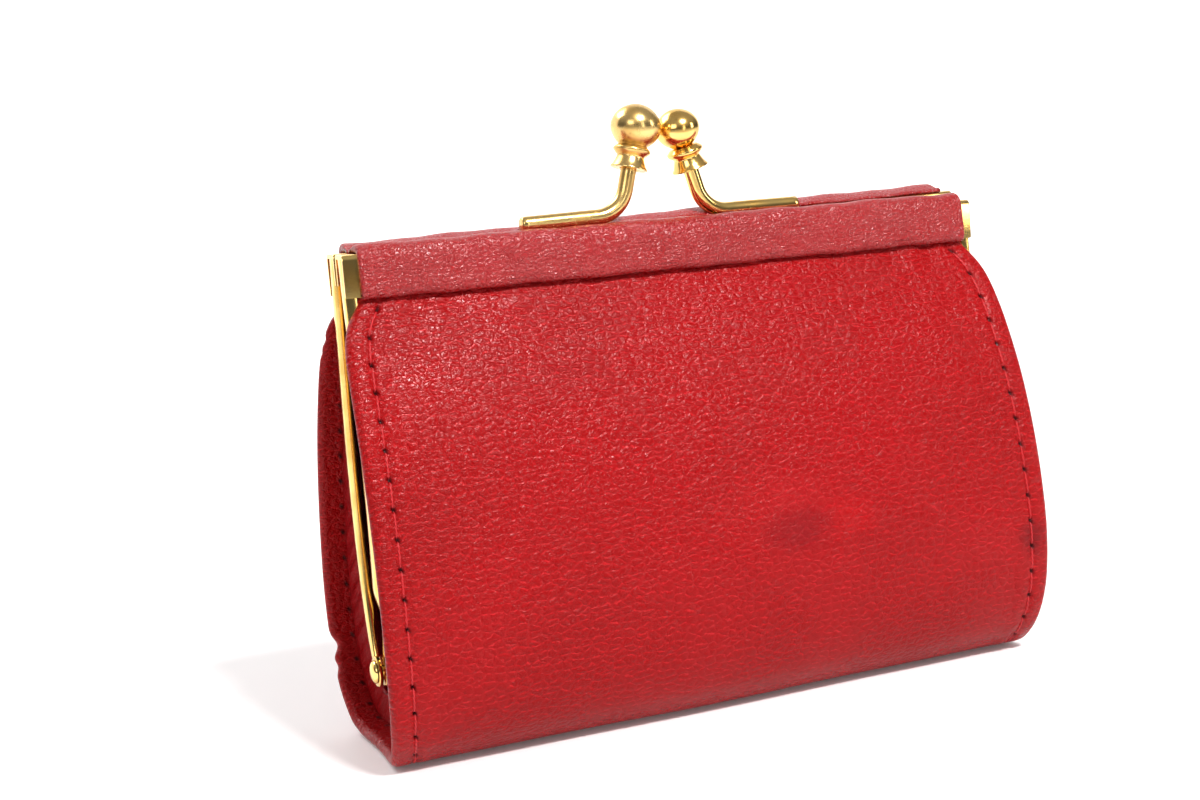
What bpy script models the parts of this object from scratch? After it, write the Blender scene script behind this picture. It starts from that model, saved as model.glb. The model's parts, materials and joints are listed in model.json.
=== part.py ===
"""Kiss-lock coin purse: two brass frames hinged on rivets, a leather sling, side gussets and a ball clasp.

Metres, +Z up. The origin is at the middle of the flat bottom, +X runs along the bars, and -Y is the front.
"""

import math

import bmesh
import bpy
from mathutils import Matrix, Vector

# Overall sizes
FRAME_WIDTH = 0.0900
FRAME_TOP_Z = 0.0640
HINGE_Z = 0.0105
BASE_RADIUS = 0.0150
HEM_FLARE = 0.0047
BASE_NARROWING = 0.0022
OPENING_ANGLE = math.radians(40)

# Thicknesses
METAL = 0.0005
LEATHER = 0.0008
STIFFENER = 0.0005
LINING = 0.0004
GUSSET_LEATHER = 0.0006

# Clearances: between neighbours, and between the layers tucked into a channel
GAP = 0.0003
TUCK_GAP = 0.0002

# Frame channel, as depths from the parting plane between the two frames
PARTING = 0.00035
CHANNEL_DEPTH = 0.00375
OUTER_FLANGE = 0.0054
INNER_FLANGE = 0.0040
TUCK_TOP_GAP = 0.0007

# Frame legs
LEG_WIDTH = 0.0022
LEG_TOP_DEPTH = 0.0021
LEG_BOW = 0.0032
LEG_BOW_SKEW = 0.66
LEG_FLANGE = 0.0014
LEG_FLANGE_LOW = 0.0065
JOG_HEIGHT = 0.0095
JOG_OVERLAP = 0.0040
EAR_RADIUS = 0.0020
LEG_STEPS = 14

# Hinge rivets
RIVET_RADIUS = 0.00075
RIVET_HEAD_RADIUS = 0.0015
RIVET_HEAD_HEIGHT = 0.0007

# Leather on the bars
COVER_END_INSET = 0.0018
COVER_LIP = 0.0002
COVER_EDGE_ROUND = 0.0012
CORD_RADIUS = 0.000375
CORD_END_INSET = 0.0030
CORD_DROP = 0.0012

# Front and back panels
SHOULDER_DROP = 0.0011
SHOULDER_DEPTH = 0.0045
FLARE_DROP = 0.0010
FLARE_LENGTH = 0.0025
PANEL_LOW_ANGLE = math.radians(6)
BASE_TOP_ANGLE = math.radians(5)
PANEL_STEPS = 16
SEAM_INSET = 0.0029
THREAD_RADIUS = 0.00025

# Clasp
WIRE_RADIUS = 0.00105
WIRE_RUN = 0.0106
WIRE_BEND_RADIUS = 0.0045
WIRE_LEAN = math.radians(16)
WIRE_STEM = 0.0027
BALL_OFFSET_X = 0.00325
BALL_OFFSET_Y = 0.0006
BALL_RADIUS = 0.0028
RING_RADIUS = 0.00225
BELL_RADIUS = 0.0023
FINIAL_NECK_RADIUS = 0.0014
FINIAL_FOOT = 0.0056
SOCKET_DEPTH = 0.0016

# Worked out from the sizes above
FRAME_END = FRAME_WIDTH / 2
FLANGE_LOW_Z = FRAME_TOP_Z - OUTER_FLANGE
CHANNEL_FACE = PARTING + CHANNEL_DEPTH
LEG_PLATE_X = (FRAME_END - METAL, FRAME_END)
LEG_FLANGE_X = (FRAME_END - LEG_FLANGE, FRAME_END)
INNER_EAR_X = (FRAME_END - LEG_FLANGE, FRAME_END - LEG_FLANGE + METAL)
SIDE_GUSSET_X = (LEG_FLANGE_X[0] - GAP - GUSSET_LEATHER, LEG_FLANGE_X[0] - GAP)
BASE_GUSSET_X = (SIDE_GUSSET_X[0] - GAP - GUSSET_LEATHER, SIDE_GUSSET_X[0] - GAP)
TUCK_HALF_WIDTH = FRAME_END - COVER_END_INSET
SLING_HALF_WIDTH = TUCK_HALF_WIDTH + HEM_FLARE
BASE_HALF_WIDTH = SLING_HALF_WIDTH - BASE_NARROWING
LINING_HALF_WIDTH = SIDE_GUSSET_X[0] - GAP
BASE_LINING_HALF_WIDTH = BASE_GUSSET_X[0] - GAP
TUCK_DEPTH = CHANNEL_FACE - METAL - TUCK_GAP
TUCK_TOP_Z = FRAME_TOP_Z - METAL - TUCK_TOP_GAP
BELLY_DEPTH = BASE_RADIUS + GAP + LEATHER
PANEL_LOW_Z = HINGE_Z + BELLY_DEPTH * math.sin(PANEL_LOW_ANGLE)
SHOULDER_Z = FLANGE_LOW_Z - SHOULDER_DROP
LINED_INSET = LEATHER + GAP + STIFFENER + GAP
SWEEP_ANGLE = OPENING_ANGLE + PANEL_LOW_ANGLE
BAR_TOP_Z = FRAME_TOP_Z + GAP + LEATHER

FRONT = -1
BACK = 1
HALVES = {"front": FRONT, "back": BACK}
ENDS = {"left": -1, "right": 1}


# ---------------------------------------------------------------- scene and materials

def clear_scene():
    for obj in list(bpy.data.objects):
        bpy.data.objects.remove(obj, do_unlink=True)


def make_collection(name):
    collection = bpy.data.collections.new(name)
    bpy.context.scene.collection.children.link(collection)
    return collection


def make_material(name, colour, roughness, metallic=0.0):
    material = bpy.data.materials.new(name)
    material.use_nodes = True
    shader = material.node_tree.nodes["Principled BSDF"]
    shader.inputs["Base Color"].default_value = (*colour, 1.0)
    shader.inputs["Roughness"].default_value = roughness
    shader.inputs["Metallic"].default_value = metallic
    return material


clear_scene()
PURSE = make_collection("coin_purse")
BRASS = make_material("brass", (0.80, 0.55, 0.18), 0.18, 1.0)
RED_LEATHER = make_material("red_leather", (0.50, 0.010, 0.014), 0.42)
DARK_LINING = make_material("lining", (0.10, 0.018, 0.012), 0.80)
BOARD = make_material("stiffener_board", (0.48, 0.40, 0.30), 0.90)
PAPER = make_material("packing_paper", (0.70, 0.62, 0.48), 0.90)
THREAD = make_material("thread", (0.42, 0.012, 0.016), 0.55)


def make_pivot(name, location):
    pivot = bpy.data.objects.new(name, None)
    pivot.location = location
    PURSE.objects.link(pivot)
    return pivot


PIVOTS = {
    "base": make_pivot("base_origin", (0.0, 0.0, 0.0)),
    "front": make_pivot("front_hinge_axis", (0.0, 0.0, HINGE_Z)),
    "back": make_pivot("back_hinge_axis", (0.0, 0.0, HINGE_Z)),
}


def add_part(name, data, material, group, matrix=None):
    """Links a named part, parented to its group's pivot with its world place kept."""
    part = bpy.data.objects.new(name, data)
    PURSE.objects.link(part)
    data.materials.append(material)
    pivot = PIVOTS[group]
    part.parent = pivot
    part.matrix_parent_inverse = Matrix.Translation(-pivot.location)
    part.matrix_basis = matrix or Matrix.Identity(4)
    return part


def shade_round(mesh):
    mesh.shade_smooth()
    mesh.set_sharp_from_angle(angle=math.radians(35))


# ---------------------------------------------------------------- shape helpers

def evaluated_mesh(obj):
    """A mesh of the object as evaluated, in its own frame, with a curve's loose caps welded."""
    bpy.context.view_layer.update()
    graph = bpy.context.evaluated_depsgraph_get()
    mesh = bpy.data.meshes.new_from_object(obj.evaluated_get(graph))
    shape = bmesh.new()
    shape.from_mesh(mesh)
    bmesh.ops.remove_doubles(shape, verts=shape.verts, dist=1e-7)
    shape.to_mesh(mesh)
    shape.free()
    return mesh


def side_plate(name, outlines, x_span, material, group):
    """A flat plate across X, from closed outlines of (y, z) points; a second outline is a hole."""
    curve = bpy.data.curves.new(name, "CURVE")
    curve.dimensions = "2D"
    curve.fill_mode = "BOTH"
    curve.extrude = (x_span[1] - x_span[0]) / 2
    for outline in outlines:
        spline = curve.splines.new("POLY")
        spline.points.add(len(outline) - 1)
        spline.use_cyclic_u = True
        for point, (y, z) in zip(spline.points, outline):
            point.co = (y, z, 0.0, 1.0)
    turn = Matrix(((0, 0, 1), (1, 0, 0), (0, 1, 0))).to_4x4()
    place = Matrix.Translation(((x_span[0] + x_span[1]) / 2, 0.0, 0.0)) @ turn
    plate = add_part(name, curve, material, group, place)
    mesh = evaluated_mesh(plate)
    bpy.data.objects.remove(plate, do_unlink=True)
    return add_part(name, mesh, material, group, place)


def join_solids(name, pieces, material, group):
    """The Boolean union of closed pieces as one part."""
    first = pieces[0]
    for piece in pieces[1:]:
        union = first.modifiers.new("join", "BOOLEAN")
        union.operation = "UNION"
        union.object = piece
    mesh = evaluated_mesh(first)
    place = first.matrix_world.copy()
    for piece in pieces:
        bpy.data.objects.remove(piece, do_unlink=True)
    shade_round(mesh)
    return add_part(name, mesh, material, group, place)


def bent_sheet(name, path, half_widths, thickness, side, material, group):
    """A sheet whose outer face follows a path of (depth, z) points, with its own half width at each point."""
    order = range(len(path)) if side == FRONT else range(len(path) - 1, -1, -1)
    rows = [(side * path[i][0], path[i][1], half_widths[i]) for i in order]
    shape = bmesh.new()
    last = len(rows) - 1
    bmesh.ops.create_grid(shape, x_segments=2, y_segments=last, size=1.0)
    for vertex in shape.verts:
        y, z, half_width = rows[round((vertex.co.y + 1) / 2 * last)]
        vertex.co = (vertex.co.x * half_width, y, z)
    mesh = bpy.data.meshes.new(name)
    shape.to_mesh(mesh)
    shape.free()
    shade_round(mesh)
    part = add_part(name, mesh, material, group)
    wall = part.modifiers.new("thickness", "SOLIDIFY")
    wall.thickness = thickness
    wall.offset = -1.0
    wall.use_even_offset = True
    return part


def inset(path, distances):
    """The path moved inwards, towards the parting plane, by a distance at each point."""
    moved = []
    for i, (depth, z) in enumerate(path):
        before = path[max(i - 1, 0)]
        after = path[min(i + 1, len(path) - 1)]
        along = Vector((after[0] - before[0], after[1] - before[1])).normalized()
        moved.append((depth - along.y * distances[i], z + along.x * distances[i]))
    return moved


def wire(name, points, radius, resolution, material, group):
    """A round wire or thread through its points, with closed ends."""
    curve = bpy.data.curves.new(name, "CURVE")
    curve.dimensions = "3D"
    curve.bevel_depth = radius
    curve.bevel_resolution = resolution
    curve.use_fill_caps = True
    spline = curve.splines.new("POLY")
    spline.points.add(len(points) - 1)
    for point, place in zip(spline.points, points):
        point.co = (*place, 1.0)
    return add_part(name, curve, material, group)


def turned(name, profile, segments, material, group, matrix):
    """A solid of revolution about its own Z axis, from (radius, z) points down the outer side."""
    mesh = bpy.data.meshes.new(name)
    edges = [(i, i + 1) for i in range(len(profile) - 1)]
    mesh.from_pydata([(radius, 0.0, z) for radius, z in profile], edges, [])
    part = add_part(name, mesh, material, group, matrix)
    screw = part.modifiers.new("turn", "SCREW")
    screw.steps = segments
    screw.render_steps = segments
    screw.use_merge_vertices = True
    screw.merge_threshold = 0.00001
    screw.use_smooth_shade = True
    return part


def arc(centre, radius, start, end, steps):
    """Points of (depth, z) on a circle; an angle of 0 points outwards and a quarter turn points up."""
    angles = [start + (end - start) * i / steps for i in range(steps + 1)]
    return [(centre[0] + radius * math.cos(a), centre[1] + radius * math.sin(a)) for a in angles]


# ---------------------------------------------------------------- section of the sling

def panel_depth(z):
    """Depth of a panel's outer face: a full curve from the bar's underside to an upright lower edge."""
    along = (SHOULDER_Z - z) / (SHOULDER_Z - PANEL_LOW_Z)
    return SHOULDER_DEPTH + (BELLY_DEPTH - SHOULDER_DEPTH) * math.sin(math.pi / 2 * along)


def panel_half_width(z):
    """The hem flares out quickly below the bar."""
    drop = SHOULDER_Z - FLARE_DROP - z
    if drop <= 0:
        return TUCK_HALF_WIDTH
    return SLING_HALF_WIDTH - (SLING_HALF_WIDTH - TUCK_HALF_WIDTH) * math.exp(-drop / FLARE_LENGTH)


def panel_rows(low_z, steps=PANEL_STEPS):
    """(depth, z) up a panel's outer face, closer together near the flare."""
    rows = []
    for i in range(steps + 1):
        share = 1 - (1 - i / steps) ** 1.5
        z = low_z + (SHOULDER_Z - low_z) * share
        rows.append((panel_depth(z), z))
    return rows


def tucked_rows():
    return [(TUCK_DEPTH, FLANGE_LOW_Z), (TUCK_DEPTH, TUCK_TOP_Z)]


def height_at_angle(angle):
    """Height where the ray at this angle above the hinge's level meets the panel's outer face."""
    low, high = PANEL_LOW_Z, SHOULDER_Z
    for _ in range(40):
        middle = (low + high) / 2
        if math.atan2(middle - HINGE_Z, panel_depth(middle)) < angle:
            low = middle
        else:
            high = middle
    return low


def base_path(radius, floor_z, top_angle=BASE_TOP_ANGLE, steps=8):
    """(depth, z) round the base from the back to the front: an arc about the hinge, a flat, an arc."""
    floor_angle = -math.asin((HINGE_Z - floor_z) / radius)
    side = arc((0.0, HINGE_Z), radius, top_angle, floor_angle, steps)
    return [(-depth, z) for depth, z in side] + side[::-1]


LINED_LOW_Z = height_at_angle(SWEEP_ANGLE)


# ---------------------------------------------------------------- frames and hinge

def leg_depth(z):
    along = (z - HINGE_Z) / (FRAME_TOP_Z - HINGE_Z)
    return LEG_TOP_DEPTH * along + LEG_BOW * math.sin(math.pi * max(along, 0.0) ** LEG_BOW_SKEW)


def leg_heights(low_z, high_z):
    return [low_z + (high_z - low_z) * i / LEG_STEPS for i in range(LEG_STEPS + 1)]


def leg_edge(side, low_z, high_z, offset):
    return [(side * (leg_depth(z) + offset), z) for z in leg_heights(low_z, high_z)]


def strip_outline(side, low_z, high_z, inner, outer):
    return leg_edge(side, low_z, high_z, inner) + leg_edge(side, low_z, high_z, outer)[::-1]


def ear_outline(side, high_z):
    """A leg strip that runs down into a round ear about the hinge."""
    low_z = HINGE_Z + EAR_RADIUS
    outer = leg_edge(side, low_z, high_z, LEG_WIDTH / 2)
    inner = leg_edge(side, low_z, high_z, -LEG_WIDTH / 2)
    sweep = arc((0.0, HINGE_Z), EAR_RADIUS, math.radians(55), math.radians(-235), 20)
    ear = [(side * depth, z) for depth, z in sweep]
    return outer[::-1] + ear + inner


def rivet_hole():
    return arc((0.0, HINGE_Z), RIVET_RADIUS + GAP, 0.0, math.tau * 15 / 16, 15)


def mirrored_span(span, end):
    return span if end > 0 else (-span[1], -span[0])


def channel_outline(side):
    outer = side * CHANNEL_FACE
    inner = side * PARTING
    wall = side * METAL
    return [
        (outer, FLANGE_LOW_Z),
        (outer, FRAME_TOP_Z),
        (inner, FRAME_TOP_Z),
        (inner, FRAME_TOP_Z - INNER_FLANGE),
        (inner + wall, FRAME_TOP_Z - INNER_FLANGE),
        (inner + wall, FRAME_TOP_Z - METAL),
        (outer - wall, FRAME_TOP_Z - METAL),
        (outer - wall, FLANGE_LOW_Z),
    ]


def make_frame(half, side):
    """The bar's channel and two legs. The back ears lie outside the front ears, which step inwards."""
    pieces = [side_plate("bar", [channel_outline(side)], (-FRAME_END, FRAME_END), BRASS, half)]
    jog_z = HINGE_Z + JOG_HEIGHT
    leg_top_z = FRAME_TOP_Z - METAL / 2
    for end in ENDS.values():
        flange = strip_outline(side, HINGE_Z + LEG_FLANGE_LOW, leg_top_z,
                               LEG_WIDTH / 2 - METAL, LEG_WIDTH / 2)
        pieces.append(side_plate("flange", [flange], mirrored_span(LEG_FLANGE_X, end), BRASS, half))
        if side == BACK:
            ear_top_z, ear_x = leg_top_z, LEG_PLATE_X
        else:
            ear_top_z, ear_x = jog_z + JOG_OVERLAP, INNER_EAR_X
            leg = strip_outline(side, jog_z, leg_top_z, -LEG_WIDTH / 2, LEG_WIDTH / 2)
            pieces.append(side_plate("leg", [leg], mirrored_span(LEG_PLATE_X, end), BRASS, half))
        outlines = [ear_outline(side, ear_top_z), rivet_hole()]
        pieces.append(side_plate("ear", outlines, mirrored_span(ear_x, end), BRASS, half))
    join_solids(f"{half}_frame", pieces, BRASS, half)


def make_rivet(name, end):
    """A headed rivet through both ears, its own Z axis pointing out of the purse."""
    inner_end = SIDE_GUSSET_X[0]
    inner_head = SIDE_GUSSET_X[1]
    head = FRAME_END + GAP
    top = head + RIVET_HEAD_HEIGHT
    profile = [
        (0.0, top),
        (RIVET_HEAD_RADIUS * 0.55, top - RIVET_HEAD_HEIGHT * 0.15),
        (RIVET_HEAD_RADIUS * 0.90, top - RIVET_HEAD_HEIGHT * 0.50),
        (RIVET_HEAD_RADIUS, head),
        (RIVET_RADIUS, head),
        (RIVET_RADIUS, inner_head),
        (RIVET_HEAD_RADIUS, inner_head),
        (RIVET_HEAD_RADIUS, inner_end),
        (0.0, inner_end),
    ]
    turn = Matrix.Rotation(end * math.pi / 2, 4, "Y")
    turned(name, profile, 20, BRASS, "base", Matrix.Translation((0.0, 0.0, HINGE_Z)) @ turn)


# ---------------------------------------------------------------- bar covers and packing

def make_bar_cover(half, side):
    """Leather over the channel's outer flange and top, stopping at the clasp wire."""
    face = CHANNEL_FACE + GAP + LEATHER
    stop = PARTING + WIRE_RADIUS * 2 + GAP
    corner = (face - COVER_EDGE_ROUND, BAR_TOP_Z - COVER_EDGE_ROUND)
    path = [(face, FLANGE_LOW_Z - COVER_LIP)]
    path += arc(corner, COVER_EDGE_ROUND, 0.0, math.pi / 2, 5)
    path.append((stop, BAR_TOP_Z))
    widths = [TUCK_HALF_WIDTH] * len(path)
    bent_sheet(f"{half}_bar_cover", path, widths, LEATHER, side, RED_LEATHER, half)


def make_packing_cord(half, side):
    """Twisted paper that wedges the leather and lining in the channel."""
    depth = PARTING + METAL + TUCK_GAP + CORD_RADIUS
    z = FRAME_TOP_Z - METAL - CORD_DROP
    reach = FRAME_END - CORD_END_INSET
    wire(f"{half}_packing_cord", [(-reach, side * depth, z), (reach, side * depth, z)],
         CORD_RADIUS, 2, PAPER, half)


# ---------------------------------------------------------------- panels, linings and threads

def make_panel(half, side):
    path = panel_rows(PANEL_LOW_Z) + tucked_rows()
    widths = [panel_half_width(z) for _, z in path]
    bent_sheet(f"{half}_panel", path, widths, LEATHER, side, RED_LEATHER, half)


def make_stiffener(half, side):
    path = panel_rows(LINED_LOW_Z)[:-3]
    distances = [LEATHER + GAP] * len(path)
    widths = [LINING_HALF_WIDTH] * len(path)
    bent_sheet(f"{half}_stiffener", inset(path, distances), widths, STIFFENER, side, BOARD, half)


def make_lining(half, side):
    body = panel_rows(LINED_LOW_Z)[:-1]
    path = inset(body, [LINED_INSET] * len(body))
    path += [(TUCK_DEPTH - LEATHER - TUCK_GAP, z) for _, z in tucked_rows()]
    widths = [LINING_HALF_WIDTH] * len(path)
    bent_sheet(f"{half}_lining", path, widths, LINING, side, DARK_LINING, half)


def make_seam_thread(half, side, end_name, end):
    """The stitching along a hem, standing just clear of the leather."""
    rows = [row for row in panel_rows(PANEL_LOW_Z) if row[1] < SHOULDER_Z - FLARE_DROP]
    lift = -(GAP + THREAD_RADIUS)
    path = inset(rows, [lift] * len(rows))
    points = []
    for (depth, z), (_, row_z) in zip(path, rows):
        points.append((end * (panel_half_width(row_z) - SEAM_INSET), side * depth, z))
    wire(f"{half}_{end_name}_thread", points, THREAD_RADIUS, 1, THREAD, half)


def make_base():
    panel = base_path(BASE_RADIUS, 0.0)
    top_z = panel[0][1]
    spread = SLING_HALF_WIDTH - BASE_HALF_WIDTH
    widths = [BASE_HALF_WIDTH + spread * z / top_z for _, z in panel]
    bent_sheet("base_panel", panel, widths, LEATHER, FRONT, RED_LEATHER, "base")

    board_z = LEATHER + GAP
    board_reach = abs(base_path(BASE_RADIUS - board_z, board_z)[8][0]) - STIFFENER
    board = [(-board_reach, board_z), (0.0, board_z), (board_reach, board_z)]
    bent_sheet("base_stiffener", board, [BASE_LINING_HALF_WIDTH] * 3, STIFFENER, FRONT, BOARD, "base")

    lining = base_path(BASE_RADIUS - LINED_INSET, LINED_INSET)
    widths = [BASE_LINING_HALF_WIDTH] * len(lining)
    bent_sheet("base_lining", lining, widths, LINING, FRONT, DARK_LINING, "base")


# ---------------------------------------------------------------- gussets

def make_side_gusset(half, side, end_name, end):
    """Leather from a leg to the panel. Its lower fan slides past the base gusset as the purse opens."""
    upper = panel_rows(LINED_LOW_Z)[:-2]
    outer = inset(upper, [LEATHER + GAP] * len(upper))
    fan_radius = BASE_RADIUS - LEATHER - GAP
    fan = arc((0.0, HINGE_Z), fan_radius, PANEL_LOW_ANGLE, SWEEP_ANGLE, 8)
    heel = arc((0.0, HINGE_Z), RIVET_HEAD_RADIUS + 3 * GAP, math.radians(75), PANEL_LOW_ANGLE, 6)
    leg_low_z = HINGE_Z + JOG_HEIGHT / 2
    leg = [(leg_depth(z), z) for z in leg_heights(leg_low_z, outer[-1][1])][::-1]
    outline = [(side * depth, z) for depth, z in fan + outer + leg + heel]
    side_plate(f"{half}_{end_name}_gusset", [outline], mirrored_span(SIDE_GUSSET_X, end),
               RED_LEATHER, half)


def make_base_gusset(end_name, end):
    """The lower side wall: it reaches up to the opening angle, with a notch under the hinge."""
    rim_z = height_at_angle(OPENING_ANGLE)
    steps = 6
    rim = []
    for i in range(steps):
        z = rim_z + (PANEL_LOW_Z - rim_z) * i / steps
        rim.append((panel_depth(z) - LINED_INSET - LINING - GAP, z))
    wall = LEATHER + GAP
    bowl = base_path(BASE_RADIUS - wall, wall)
    front = bowl[len(bowl) // 2:][::-1]
    notch = (0.0, HINGE_Z - RIVET_HEAD_RADIUS - 3 * GAP)
    right = rim + front
    outline = [notch] + right + [(-depth, z) for depth, z in right[::-1]]
    side_plate(f"base_{end_name}_gusset", [outline], mirrored_span(BASE_GUSSET_X, end),
               RED_LEATHER, "base")


# ---------------------------------------------------------------- clasp

def make_clasp(half, side):
    """A wire on the bar's inner edge that bends up and carries a turned finial.

    The back arm comes from the left, and its ball stands in front of the front arm's.
    """
    reach = 1 if side == BACK else -1
    wire_depth = side * (PARTING + WIRE_RADIUS)
    wire_z = FRAME_TOP_Z + GAP + WIRE_RADIUS
    turn = math.pi / 2 - WIRE_LEAN
    rise = WIRE_BEND_RADIUS * (1 - math.cos(turn)) + (WIRE_STEM + FINIAL_FOOT) * math.cos(WIRE_LEAN)
    advance = WIRE_BEND_RADIUS * math.sin(turn) + (WIRE_STEM + FINIAL_FOOT) * math.sin(WIRE_LEAN)
    bend_x = -reach * (BALL_OFFSET_X + advance)
    drift = -side * BALL_OFFSET_Y - wire_depth

    def placed(x, z):
        share = (z - wire_z) / rise
        return Vector((x, wire_depth + drift * share, z))

    points = [placed(bend_x - reach * WIRE_RUN, wire_z)]
    steps = 8
    for i in range(steps + 1):
        angle = turn * i / steps
        x = bend_x + reach * WIRE_BEND_RADIUS * math.sin(angle)
        points.append(placed(x, wire_z + WIRE_BEND_RADIUS * (1 - math.cos(angle))))
    bend_end = points[-1]
    ball = placed(-reach * BALL_OFFSET_X, wire_z + rise)
    axis = (ball - bend_end).normalized()
    foot = ball - axis * FINIAL_FOOT
    points.append(foot + axis * (SOCKET_DEPTH - GAP))
    wire(f"{half}_clasp_arm", points, WIRE_RADIUS, 3, BRASS, half)

    socket = WIRE_RADIUS + GAP
    profile = [(0.0, FINIAL_FOOT + BALL_RADIUS)]
    for i in range(1, 8):
        angle = math.pi / 2 - math.radians(147) * i / 7
        profile.append((BALL_RADIUS * math.cos(angle), FINIAL_FOOT + BALL_RADIUS * math.sin(angle)))
    ring_z = FINIAL_FOOT - BALL_RADIUS - 0.0004
    profile += [
        (RING_RADIUS, ring_z),
        (FINIAL_NECK_RADIUS, ring_z - 0.0006),
        (FINIAL_NECK_RADIUS + 0.0002, SOCKET_DEPTH * 0.65),
        (BELL_RADIUS, 0.0),
        (socket, 0.0),
        (socket, SOCKET_DEPTH),
        (0.0, SOCKET_DEPTH),
    ]
    place = Matrix.Translation(foot) @ axis.to_track_quat("Z", "Y").to_matrix().to_4x4()
    turned(f"{half}_clasp_finial", profile, 20, BRASS, half, place)


# ---------------------------------------------------------------- assembly

def main():
    for half, side in HALVES.items():
        make_frame(half, side)
        make_bar_cover(half, side)
        make_packing_cord(half, side)
        make_panel(half, side)
        make_stiffener(half, side)
        make_lining(half, side)
        make_clasp(half, side)
        for end_name, end in ENDS.items():
            make_side_gusset(half, side, end_name, end)
            make_seam_thread(half, side, end_name, end)
    make_base()
    for end_name, end in ENDS.items():
        make_base_gusset(end_name, end)
        make_rivet(f"{end_name}_hinge_rivet", end)


main()
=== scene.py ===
import json
import math

import bmesh
import bpy
import numpy as np
from mathutils import Matrix, Vector


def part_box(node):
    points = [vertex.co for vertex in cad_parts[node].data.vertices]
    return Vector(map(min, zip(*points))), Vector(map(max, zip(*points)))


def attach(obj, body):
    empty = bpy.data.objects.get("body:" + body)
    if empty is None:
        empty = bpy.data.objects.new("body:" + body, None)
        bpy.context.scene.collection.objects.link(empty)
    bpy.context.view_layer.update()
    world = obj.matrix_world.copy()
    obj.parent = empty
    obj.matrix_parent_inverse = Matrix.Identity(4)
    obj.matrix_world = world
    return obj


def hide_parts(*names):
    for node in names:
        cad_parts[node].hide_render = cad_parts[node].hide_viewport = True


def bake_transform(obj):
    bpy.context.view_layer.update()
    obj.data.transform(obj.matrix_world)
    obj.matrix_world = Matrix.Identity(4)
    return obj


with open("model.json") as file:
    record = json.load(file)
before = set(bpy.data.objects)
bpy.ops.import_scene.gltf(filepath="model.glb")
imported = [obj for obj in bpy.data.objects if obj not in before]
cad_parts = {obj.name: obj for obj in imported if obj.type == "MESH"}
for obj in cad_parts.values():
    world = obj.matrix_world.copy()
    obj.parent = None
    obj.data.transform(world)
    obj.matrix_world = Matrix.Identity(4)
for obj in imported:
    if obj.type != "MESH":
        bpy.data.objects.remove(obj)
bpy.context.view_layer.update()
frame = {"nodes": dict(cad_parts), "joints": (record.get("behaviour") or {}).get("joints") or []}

# Everything is in metres in the frame's own axes: +X along the bars, -Y the front, +Z up.
MM = 0.001
FRONT = -1
BACK = 1
HALVES = {"front": FRONT, "back": BACK}
ENDS = {"left": -1, "right": 1}

# Places read from the frame
FRAME_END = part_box("back_frame")[1].x
FRAME_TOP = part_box("back_frame")[1].z
HINGE_Z = frame["joints"][0]["pos_m"][2]
COVER_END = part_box("front_bar_cover")[1].x
COVER_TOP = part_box("front_bar_cover")[1].z
COVER_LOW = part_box("front_bar_cover")[0].z
COVER_FACE = -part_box("front_bar_cover")[0].y
HEM_HALF_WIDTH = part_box("front_panel")[1].x
BELLY = -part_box("front_panel")[0].y
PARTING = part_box("back_frame")[0].y

# How far each half's bar rises for each metre along X: the two frames sit slightly out of line.
SKEW = {FRONT: -0.0085, BACK: 0.0060}

# Leather, board and lining
HEM_THICKNESS = 1.75 * MM
HEM_WIDTH = 3.9 * MM
PANEL_THICKNESS = 1.0 * MM
GUSSET_THICKNESS = 0.55 * MM
LAYER_THICKNESS = 0.4 * MM
COVER_THICKNESS = 1.05 * MM

# Seam
SEAM_INSET = 2.9 * MM
FIRST_HOLE = 3.2 * MM
STITCH_PITCH = 3.62 * MM
STITCH_END_INSET = 0.1375 * MM
THREAD_RADIUS = 0.15 * MM
THREAD_SIDES = 8

# Wires of the clasp
WIRE_RADIUS = 1.05 * MM
WIRE_DEPTH = PARTING + WIRE_RADIUS
WIRE_Z = FRAME_TOP + 0.3 * MM + WIRE_RADIUS


# ---------------------------------------------------------------- materials

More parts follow.
